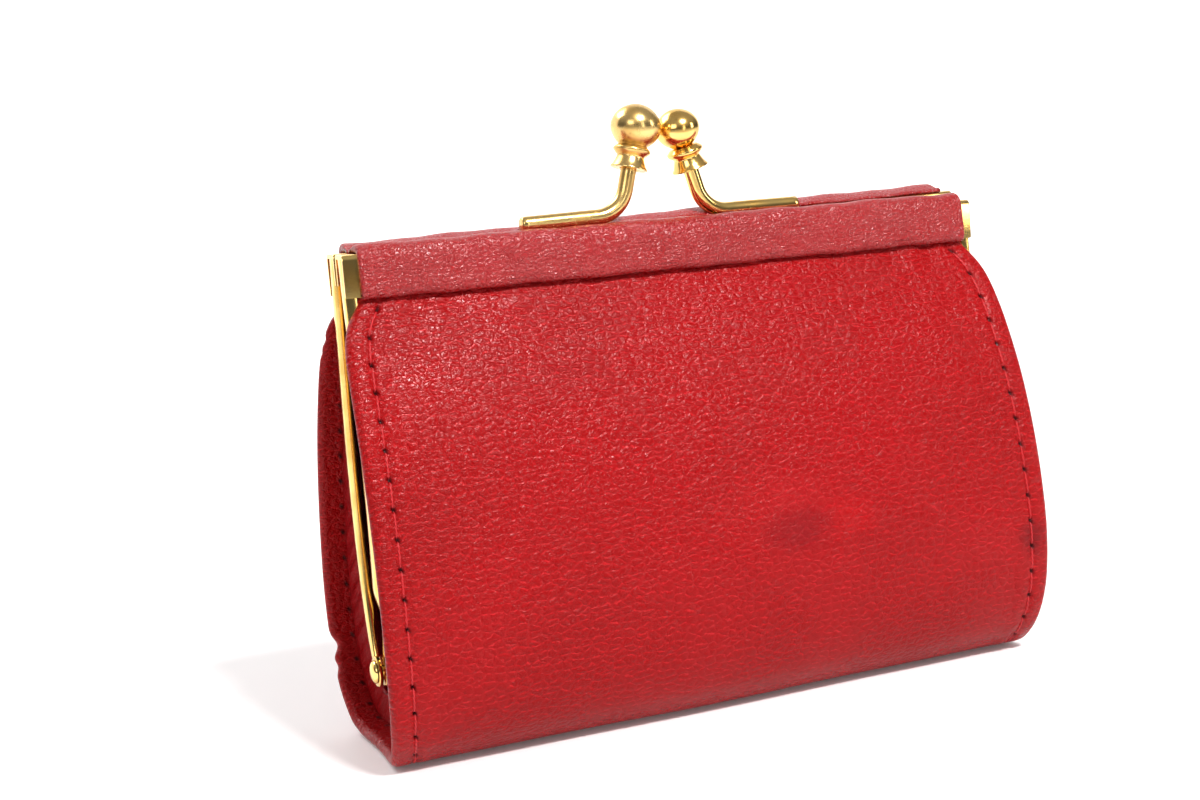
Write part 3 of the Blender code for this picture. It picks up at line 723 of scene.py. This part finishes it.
def make_gusset(half, side, end_name, end):
    """Half of a horseshoe: from the leg to the hem above, and round under the hinge to the bottom."""
    share = np.linspace(0, 1, GUSSET_ROWS)
    leg = leg_line(HINGE_Z, FRAME_TOP - 6.2 * MM, 60) + np.array([LEG_WIDTH * 0.30, 0.0])
    upper = leg[leg[:, 1] > HINGE_Z + 4.0 * MM][::6]
    heel = [(HEEL_RADIUS * math.cos(a), HINGE_Z + HEEL_RADIUS * math.sin(a))
            for a in np.linspace(0.15, -math.pi / 2, 14)]
    inner_line, inner_s = smooth_path(np.vstack([upper, heel]), 0.3 * MM)
    depth, height = (np.interp(share * inner_s[-1], inner_s, inner_line[:, k]) for k in (0, 1))
    at_leg = np.stack([np.full(GUSSET_ROWS, end * (FRAME_END - 0.9 * MM)), side * depth, height], 1)
    hem_s = np.linspace(2.0 * MM, SECTION_S[-1], GUSSET_ROWS)
    hem_x = half_width(hem_s) - SEAM_INSET - 0.35 * MM
    at_hem = section_point(side, end * hem_x, hem_s, 0.15 * MM - HEM_THICKNESS)

    # p runs down the gusset from the bar, and q across it from the leg to the hem.
    p = share[:, None]
    q = np.linspace(0, 1, GUSSET_COLUMNS)[None, :]
    grid = at_leg[:, None, :] * (1 - q[..., None]) + at_hem[:, None, :] * q[..., None]
    width = np.linalg.norm(at_hem - at_leg, axis=1)[:, None]
    sag = (0.10 + 0.08 * smoothstep(0.55, 0.95, p)) * width * np.sin(math.pi * q ** 0.8)
    wrinkle = (0.20 * np.sin(150 * p + 3.0 * np.sin(2.6 * q) + 0.7 * end)
               + 0.13 * np.sin(83 * p + 2.0 * q + side)) * MM
    wrinkle *= smoothstep(0.25, 0.8, q) * (0.35 + 0.65 * smoothstep(0.2, 0.6, p)) * np.sin(math.pi * q) ** 0.5
    grid[..., 0] -= end * (sag + wrinkle)
    grid[..., 2] = np.maximum(grid[..., 2], GUSSET_FLOOR_CLEARANCE)
    inward = grid.copy()
    inward[..., 0] -= end * GUSSET_THICKNESS
    flat = np.stack(np.broadcast_arrays(q * width + 0.3, p * SECTION_S[-1], 0 * p * q), -1)
    name = f"{end_name}_gusset_{half}"
    mesh = shell(name, grid, inward, flat)
    skew(mesh, side)
    gusset = link_mesh(name, mesh, GUSSET_LEATHER)
    bend(gusset)
    nodes = [f"{half}_{end_name}_gusset"]
    if side == FRONT:
        nodes.append(f"base_{end_name}_gusset")
    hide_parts(*nodes)


# ---------------------------------------------------------------- boards and lining

def make_layer(side, name, material, reach, rows, lift, nodes):
    """A board or lining that follows the inside of the sling, lift below its outer face."""
    x = np.linspace(-reach, reach, 70)[None, :] + 0 * rows[:, None]
    s = rows[:, None] + 0 * x
    ripple = 0.05 * MM * np.sin(0.2 * x / MM + 0.3 * s / MM)
    outer = section_point(side, x, s, ripple - lift)
    inner = section_point(side, x, s, ripple - lift - LAYER_THICKNESS)
    mesh = shell(name, outer, inner, np.stack([x, s, 0 * x], -1))
    skew(mesh, side)
    layer = link_mesh(name, mesh, material)
    bend(layer)
    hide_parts(*nodes)


def make_inside(half, side):
    """The board and the lining of one half."""
    boards = [f"{half}_stiffener"]
    linings = [f"{half}_lining"]
    if side == FRONT:
        boards.append("base_stiffener")
        linings.append("base_lining")
    make_layer(side, f"board_{half}", BOARD, 40.5 * MM, SECTION_S[20::2], 1.25 * MM, boards)
    make_layer(side, f"lining_{half}", LINING, 42.3 * MM, SECTION_S[4::2], 1.80 * MM, linings)


# ---------------------------------------------------------------- bar covers

SHOWN_WIRE_RUN = 11.5 * MM
COVER_EDGE = 0.8 * MM
COVER_END_ROUNDING = 0.35 * MM
COVER_END_MARGIN = 0.6 * MM
GAP_UNDER_WIRE = 0.12 * MM


def wire_span(side):
    """Where the straight run of this half's clasp wire lies along X."""
    if side == BACK:
        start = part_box("back_clasp_arm")[0].x
        return start, start + SHOWN_WIRE_RUN
    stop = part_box("front_clasp_arm")[1].x
    return stop - SHOWN_WIRE_RUN, stop


def cover_path():
    """The outer face of a bar cover, from its lower edge up over the bar, and the arc length along it."""
    face = COVER_FACE / MM
    low = COVER_LOW / MM
    top = COVER_TOP / MM
    keys = [(face - 0.85, low + 0.30), (face - 0.42, low - 0.04), (face + 0.02, low + 0.40),
            (face + 0.14, low + 1.2), (face + 0.10, low + 2.8), (face + 0.04, top - 2.2),
            (face - 0.26, top - 0.95), (face - 0.95, top - 0.22), (face - 2.0, top + 0.02),
            (face - 3.1, top - 0.18), (1.15, top - 0.52), (0.60, top - 0.74), (0.38, top - 1.02)]
    return smooth_path(np.array(keys) * MM, 0.16 * MM)


def make_bar_cover(half, side):
    """Thin leather drawn over the bar. It dips under the clasp wire and swells up beside it."""
    path, t_line = cover_path()
    outward = -path_normal(path)
    ends = COVER_END_ROUNDING * (1 - np.cos(np.linspace(0, math.pi / 2, 6)))
    middle = np.linspace(COVER_END_MARGIN - COVER_END, COVER_END - COVER_END_MARGIN, 230)
    x_line = np.concatenate([-COVER_END + ends, middle, COVER_END - ends[::-1]])
    x, depth, z, t = np.broadcast_arrays(x_line[None, :], path[:, 0:1], path[:, 1:2], t_line[:, None])
    drop = edge_drop(COVER_END - np.abs(x), COVER_EDGE)
    waves = (0.07 * np.sin(0.35 * x / MM + 0.5 * t / MM + side)
             + 0.05 * np.sin(0.9 * x / MM + 1.3 * side + 0.9 * t / MM)) * MM

    start, stop = wire_span(side)
    after_start = smoothstep(start - 1.2 * MM, start + 0.4 * MM, x)
    after_stop = smoothstep(stop - 0.8 * MM, stop + 2.4 * MM, x)
    along = after_start * (1 - after_stop)
    on_top = smoothstep(COVER_TOP - 1.3 * MM, COVER_TOP - 0.8 * MM, z) * (depth < 4.4 * MM)
    trough = along * on_top * np.exp(-((depth - WIRE_DEPTH) / (1.15 * MM)) ** 4)
    swell = along * on_top * np.exp(-((depth - WIRE_DEPTH - 1.75 * MM) / (0.75 * MM)) ** 2)
    z = z - trough * (z - (FRAME_TOP + GAP_UNDER_WIRE)) + 0.38 * MM * swell

    # The leather is skived thin towards the parting, and pressed thin under the wire.
    skived = 0.28 + 0.72 * smoothstep(0.5 * MM, 3.0 * MM, depth)
    thickness = COVER_THICKNESS * skived * (1 - 0.6 * trough)
    outer, inner = (np.stack([x, side * (depth + outward[:, 0:1] * lift), z + outward[:, 1:2] * lift], -1)
                    for lift in (waves - drop, drop - thickness))
    flat = np.stack([x + 0.05 * side, t, 0 * x], -1)
    mesh = shell(f"bar_cover_{half}", outer, inner, flat)
    skew(mesh, side)
    cover = link_mesh(f"bar_cover_{half}", mesh, BAR_LEATHER)
    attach(cover, f"{half}_half")
    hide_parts(f"{half}_bar_cover")


# ---------------------------------------------------------------- brass frame

# A leg's cross-section, a strip with a flange at either edge: (share of the half width, millimetres outward)
LEG_PROFILE = [(-1.0, -1.0), (-1.0, -0.42), (-0.93, -0.20), (-0.78, -0.06), (-0.45, 0.0), (0.0, 0.03),
               (0.45, 0.0), (0.78, -0.06), (0.93, -0.20), (1.0, -0.42), (1.0, -1.40), (0.62, -1.40),
               (0.62, -0.55), (-0.62, -0.55), (-0.62, -1.0)]
STRIP_THICKNESS = 0.55
# The bar's channel: (depth, height from the frame's top) in millimetres
BAR_PROFILE = [(4.10, -5.35), (4.10, -0.70), (4.02, -0.35), (3.82, -0.10), (3.50, 0.0), (0.85, 0.0),
               (0.55, -0.06), (0.40, -0.22), (0.36, -0.45), (0.36, -3.95), (0.85, -3.95), (0.85, -0.52),
               (3.60, -0.52), (3.60, -5.35)]
BAR_PROFILE_MIDDLE = (2.2, -2.0)
BAR_END_SCALE = 0.97
BAR_END_BEVEL = 0.12 * MM
# The front legs step in by this much near the hinge, to pass behind the back ones.
JOG = 0.90 * MM
EAR_SIDES = 36
# The ear's rings, as (step in from its radius, step in from its outer face)
EAR_RINGS = ((0.12 * MM, 0.0), (0.0, 0.12 * MM), (0.0, 0.42 * MM), (0.08 * MM, 0.52 * MM))


def leg_parts(side, end):
    """A bowed channel strip from the bar's end to the ear."""
    z = np.linspace(FRAME_TOP - 0.45 * MM, HINGE_Z + 1.2 * MM, 70)
    step_in = JOG * (1 - smoothstep(HINGE_Z + 7.0 * MM, HINGE_Z + 11.5 * MM, z)) if side == FRONT else 0 * z
    centres = np.stack([end * (FRAME_END - 0.03 * MM - step_in), side * leg_depth(z), z], 1)
    tangent = np.gradient(centres, axis=0)
    tangent[:, 0] = 0
    tangent /= np.linalg.norm(tangent, axis=1, keepdims=True)
    across = side * np.stack([0 * z, -tangent[:, 2], tangent[:, 1]], 1)
    outward = np.array([float(end), 0.0, 0.0])
    slimness = 0.86 + 0.14 * smoothstep(HINGE_Z, HINGE_Z + 6 * MM, z)
    flange_share = smoothstep(HINGE_Z + 5.0 * MM, HINGE_Z + 8.0 * MM, z)
    points = []
    for centre, lateral, slim, share in zip(centres, across, slimness, flange_share):
        for a, b in LEG_PROFILE:
            if b < -STRIP_THICKNESS:
                b = -STRIP_THICKNESS + (b + STRIP_THICKNESS) * share
            points.append(centre + lateral * (a * slim * LEG_WIDTH / 2) + outward * (b * MM))
    return points, ring_faces(len(z), len(LEG_PROFILE))


def ear_parts(side, end):
    """The round ear about the hinge, with softened edges."""
    face = FRAME_END - (JOG if side == FRONT else 0.0)
    points = []
    for radius_step, face_step in EAR_RINGS:
        radius = EAR_RADIUS - radius_step
        for k in range(EAR_SIDES):
            angle = math.tau * k / EAR_SIDES
            place = (end * (face - face_step), radius * math.cos(angle), HINGE_Z + radius * math.sin(angle))
            points.append(place)
    return points, ring_faces(len(EAR_RINGS), EAR_SIDES)


def bar_parts(side):
    """The channel along the bar, with slightly bevelled ends."""
    inner_end = FRAME_END - BAR_END_BEVEL
    rings = ((-FRAME_END, BAR_END_SCALE), (-inner_end, 1.0), (inner_end, 1.0), (FRAME_END, BAR_END_SCALE))
    middle_depth, middle_height = BAR_PROFILE_MIDDLE
    points = []
    for x, scale in rings:
        for a, b in BAR_PROFILE:
            depth = middle_depth + (a - middle_depth) * scale
            height = middle_height + (b - middle_height) * scale
            points.append((x, side * depth * MM, FRAME_TOP + height * MM))
    return points, ring_faces(len(rings), len(BAR_PROFILE))


def make_frame(half, side):
    """One brass frame: the bar, two legs and two ears."""
    parts = [bar_parts(side)]
    for end in ENDS.values():
        parts.append(leg_parts(side, end))
        parts.append(ear_parts(side, end))
    mesh = merge_meshes(f"{half}_frame_brass", parts)
    weld_and_smooth(mesh, 1e-8, sharp=42)
    skew(mesh, side)
    brass = link_mesh(f"{half}_frame_brass", mesh, BRASS)
    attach(brass, f"{half}_half")
    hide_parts(f"{half}_frame")


RIVET_HEAD_RADIUS = 1.50 * MM
RIVET_DOME = 0.62 * MM
RIVET_SHANK_RADIUS = 0.75 * MM
RIVET_TAIL_RADIUS = 1.35 * MM
RIVET_TAIL_THICKNESS = 0.4 * MM


def make_rivet(end_name, end):
    """A domed rivet head outside, and its tail inside."""
    head = FRAME_END + 0.08 * MM
    tail = FRAME_END - 2.2 * MM
    tail_top = tail + RIVET_TAIL_THICKNESS
    angles = np.linspace(0, math.pi / 2, 9)[1:]
    profile = [(0.0, head + RIVET_DOME)]
    profile += [(RIVET_HEAD_RADIUS * math.sin(a), head + RIVET_DOME * math.cos(a)) for a in angles]
    profile += [(RIVET_HEAD_RADIUS, head), (RIVET_SHANK_RADIUS, head), (RIVET_SHANK_RADIUS, tail_top),
                (RIVET_TAIL_RADIUS, tail_top), (RIVET_TAIL_RADIUS, tail), (0.0, tail)]
    place = Matrix.Translation((0, 0, HINGE_Z)) @ Matrix.Rotation(end * math.pi / 2, 4, "Y")
    name = f"{end_name}_rivet_brass"
    rivet = link_mesh(name, lathe(name, profile, 32, place), BRASS)
    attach(rivet, "base")
    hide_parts(f"{end_name}_hinge_rivet")


# ---------------------------------------------------------------- clasp

BEND_RADIUS = 4.5 * MM
LEAN = math.radians(16)
STEM = 2.7 * MM
RUN = 10.6 * MM
BALL_X = 3.25 * MM
BALL_Y = 0.6 * MM
# The ball's middle stands this far above the finial's foot.
FOOT = 5.6 * MM
# In millimetres
BALL_RADII = {FRONT: 2.98, BACK: 3.35}
RING_TOP = 3.20
BALL_SQUASH = 0.90
# Ring and bell below the ball, as (radius, height) in millimetres
RING_AND_BELL = [(1.92, 3.12), (1.98, 3.04), (2.36, 2.72), (2.46, 2.60), (2.48, 2.44), (2.44, 2.26),
                 (2.02, 1.86), (1.86, 1.74), (1.80, 1.62), (1.82, 1.50), (1.90, 1.30), (2.04, 0.90),
                 (2.28, 0.42), (2.46, 0.20), (2.50, 0.10), (2.48, 0.02), (2.36, -0.02), (1.30, 0.02),
                 (1.15, 0.30), (0.0, 0.30)]


def ball_profile(radius, height):
    """Ball, ring and bell, top to bottom, above the finial's foot. It takes millimetres and gives metres."""
    tall = radius * BALL_SQUASH
    points = [(0.0, height + tall)]
    for angle in np.linspace(math.radians(82), math.asin((RING_TOP - height) / tall), 28):
        fullness = 1 - 0.05 * math.sin(angle) ** 2
        points.append((radius * fullness * math.cos(angle), height + tall * math.sin(angle)))
    return [(r * MM, z * MM) for r, z in points + RING_AND_BELL]


def make_clasp(half, side):
    """A bent wire that runs along the bar, turns up and leans in, and the turned finial on its end."""
    reach = 1 if side == BACK else -1
    depth = side * WIRE_DEPTH
    turn = math.pi / 2 - LEAN
    rise = BEND_RADIUS * (1 - math.cos(turn)) + (STEM + FOOT) * math.cos(LEAN)
    advance = BEND_RADIUS * math.sin(turn) + (STEM + FOOT) * math.sin(LEAN)
    bend_x = -reach * (BALL_X + advance)
    drift = -side * BALL_Y - depth

    def placed(x, z):
        return Vector((x, depth + drift * (z - WIRE_Z) / rise, z))

    run = [placed(bend_x - reach * RUN * (1 - i / 12), WIRE_Z) for i in range(12)]
    turned = []
    for i in range(25):
        angle = turn * i / 24
        x = bend_x + reach * BEND_RADIUS * math.sin(angle)
        turned.append(placed(x, WIRE_Z + BEND_RADIUS * (1 - math.cos(angle))))
    ball = placed(-reach * BALL_X, WIRE_Z + rise)
    axis = (ball - turned[-1]).normalized()
    foot = ball - axis * FOOT
    stem = [turned[-1] + (foot + axis * 0.25 * MM - turned[-1]) * i / 6 for i in range(1, 7)]
    full_width_start = run[0] + Vector((reach * 0.18 * MM, 0, 0))
    centres = run[:1] + [full_width_start] + run[1:] + turned + stem
    radii = [WIRE_RADIUS * 0.80] + [WIRE_RADIUS] * (len(centres) - 1)
    mesh = merge_meshes(f"{half}_arm_brass", [tube_points([tuple(c) for c in centres], radii, 24)])
    weld_and_smooth(mesh, 1e-8, sharp=50)
    skew(mesh, side)
    brass = DULL_BRASS if side == BACK else BRASS
    arm = link_mesh(f"{half}_arm_brass", mesh, brass)
    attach(arm, f"{half}_half")
    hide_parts(f"{half}_clasp_arm")

    place = Matrix.Translation(foot) @ axis.to_track_quat("Z", "Y").to_matrix().to_4x4()
    name = f"{half}_finial_brass"
    mesh = lathe(name, ball_profile(BALL_RADII[side], FOOT / MM), 64, place, sharp=38)
    skew(mesh, side)
    finial = link_mesh(name, mesh, brass)
    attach(finial, f"{half}_half")
    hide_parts(f"{half}_clasp_finial")


# ---------------------------------------------------------------- hidden CAD pieces that stay

def finish_kept_nodes():
    """The packing cords get paper."""
    for name, obj in frame["nodes"].items():
        if name.endswith("packing_cord"):
            obj.data.materials.clear()
            obj.data.materials.append(PAPER)


# ---------------------------------------------------------------- stage, light and camera

def make_backdrop():
    """A white sweep: flat under the purse, curving up far behind it, where it glows a little."""
    angles = np.linspace(0, math.pi / 2, 14)
    line = [(-2.5, 0.0), (-0.6, 0.0), (0.6, 0.0)]
    line += [(0.9 + 0.5 * math.sin(a), 0.5 - 0.5 * math.cos(a)) for a in angles]
    line.append((1.4, 2.5))
    across = (-3.0, -1.0, 0.0, 1.0, 3.0)
    points = [(x, y, z - 0.1 * MM) for y, z in line for x in across]
    wide = len(across)
    faces = [(i * wide + j, i * wide + j + 1, (i + 1) * wide + j + 1, (i + 1) * wide + j)
             for i in range(len(line) - 1) for j in range(wide - 1)]
    mesh = bpy.data.meshes.new("backdrop")
    mesh.from_pydata(points, [], faces)
    mesh.shade_smooth()
    link_mesh("backdrop", mesh, backdrop_material())


def make_world():
    """A soft sky, dim near the horizon. Seen past the floor's edge it is plain white."""
    low_direction, high_direction, low_strength, high_strength = 0.05, 0.75, 0.12, 0.42
    seen_strength = 1.0
    world = bpy.data.worlds.new("studio")
    bpy.context.scene.world = world
    world.use_nodes = True
    tree = world.node_tree
    background = tree.nodes["Background"]
    background.inputs["Color"].default_value = (1.0, 0.98, 0.97, 1.0)
    direction = tree.nodes.new("ShaderNodeTexCoord")
    split = tree.nodes.new("ShaderNodeSeparateXYZ")
    ramp = tree.nodes.new("ShaderNodeMapRange")
    ramp.interpolation_type = "SMOOTHSTEP"
    for index, value in enumerate((low_direction, high_direction, low_strength, high_strength), start=1):
        ramp.inputs[index].default_value = value
    ray = tree.nodes.new("ShaderNodeLightPath")
    strength = tree.nodes.new("ShaderNodeMapRange")
    strength.inputs["To Max"].default_value = seen_strength
    tree.links.new(direction.outputs["Generated"], split.inputs[0])
    tree.links.new(split.outputs["Z"], ramp.inputs["Value"])
    tree.links.new(ray.outputs["Is Camera Ray"], strength.inputs["Value"])
    tree.links.new(ramp.outputs[0], strength.inputs["To Min"])
    tree.links.new(strength.outputs[0], background.inputs["Strength"])


# Each light: place, the point it faces, size and power in watts
LIGHTS = {
    "overhead": ((0.10, -0.46, 0.56), (0, 0, 0.03), (0.13, 0.08), 6.0),
    "front": ((-0.62, -0.62, 0.42), (0, 0, 0.03), (0.40, 0.35), 1.3),
    "card": ((0.11, -0.57, 0.14), (-0.02, 0, 0.05), (0.08, 0.26), 0.20),
    "back": ((-0.30, 0.40, 0.62), (0, 0, 0.03), (0.50, 0.30), 2.4),
    "side": ((0.60, -0.35, 0.22), (0, 0, 0.03), (0.12, 0.30), 0.6),
}


def make_light(name, place, target, size, power):
    """An area light that faces its target."""
    data = bpy.data.lights.new(name, "AREA")
    data.shape = "RECTANGLE"
    data.size, data.size_y = size
    data.energy = power
    light = bpy.data.objects.new(name, data)
    light.location = place
    light.rotation_euler = (Vector(target) - Vector(place)).to_track_quat("-Z", "Y").to_euler()
    bpy.context.scene.collection.objects.link(light)


SENSOR_WIDTH = 36.0
FOCAL_LENGTH = 54.78
CAMERA_ANGLES = (21.35, 7.60, -4.70)
CAMERA_DISTANCE = 0.2420
CAMERA_TARGET = Vector((-0.01118, 0.0, 0.04150))


def make_camera():
    """A camera at the front left. Its yaw, pitch and roll are in degrees, from level along +Y."""
    yaw, pitch, roll = (math.radians(a) for a in CAMERA_ANGLES)
    forward = Vector((math.sin(yaw) * math.cos(pitch), math.cos(yaw) * math.cos(pitch), -math.sin(pitch)))
    level = Vector((math.cos(yaw), -math.sin(yaw), 0.0))
    upright = level.cross(forward)
    right = math.cos(roll) * level + math.sin(roll) * upright
    up = -math.sin(roll) * level + math.cos(roll) * upright
    data = bpy.data.cameras.new("camera")
    data.sensor_width = SENSOR_WIDTH
    data.lens = FOCAL_LENGTH
    data.clip_start = 0.01
    camera = bpy.data.objects.new("camera", data)
    axes = Matrix((right, up, -forward)).transposed().to_4x4()
    camera.matrix_world = Matrix.Translation(CAMERA_TARGET - forward * CAMERA_DISTANCE) @ axes
    bpy.context.scene.collection.objects.link(camera)
    bpy.context.scene.camera = camera


# ---------------------------------------------------------------- assembly

make_camera()
make_world()
make_backdrop()
for light_name, light_settings in LIGHTS.items():
    make_light(light_name, *light_settings)
for half_name, side_sign in HALVES.items():
    make_sling(half_name, side_sign)
    make_inside(half_name, side_sign)
    make_bar_cover(half_name, side_sign)
    make_frame(half_name, side_sign)
    make_clasp(half_name, side_sign)
    for side_name, end_sign in ENDS.items():
        make_stitches(half_name, side_sign, side_name, end_sign)
        make_gusset(half_name, side_sign, side_name, end_sign)
for side_name, end_sign in ENDS.items():
    make_rivet(side_name, end_sign)
finish_kept_nodes()
bpy.context.scene.view_settings.view_transform = "Standard"
bpy.context.scene.view_settings.gamma = 0.86

bpy.context.view_layer.update()
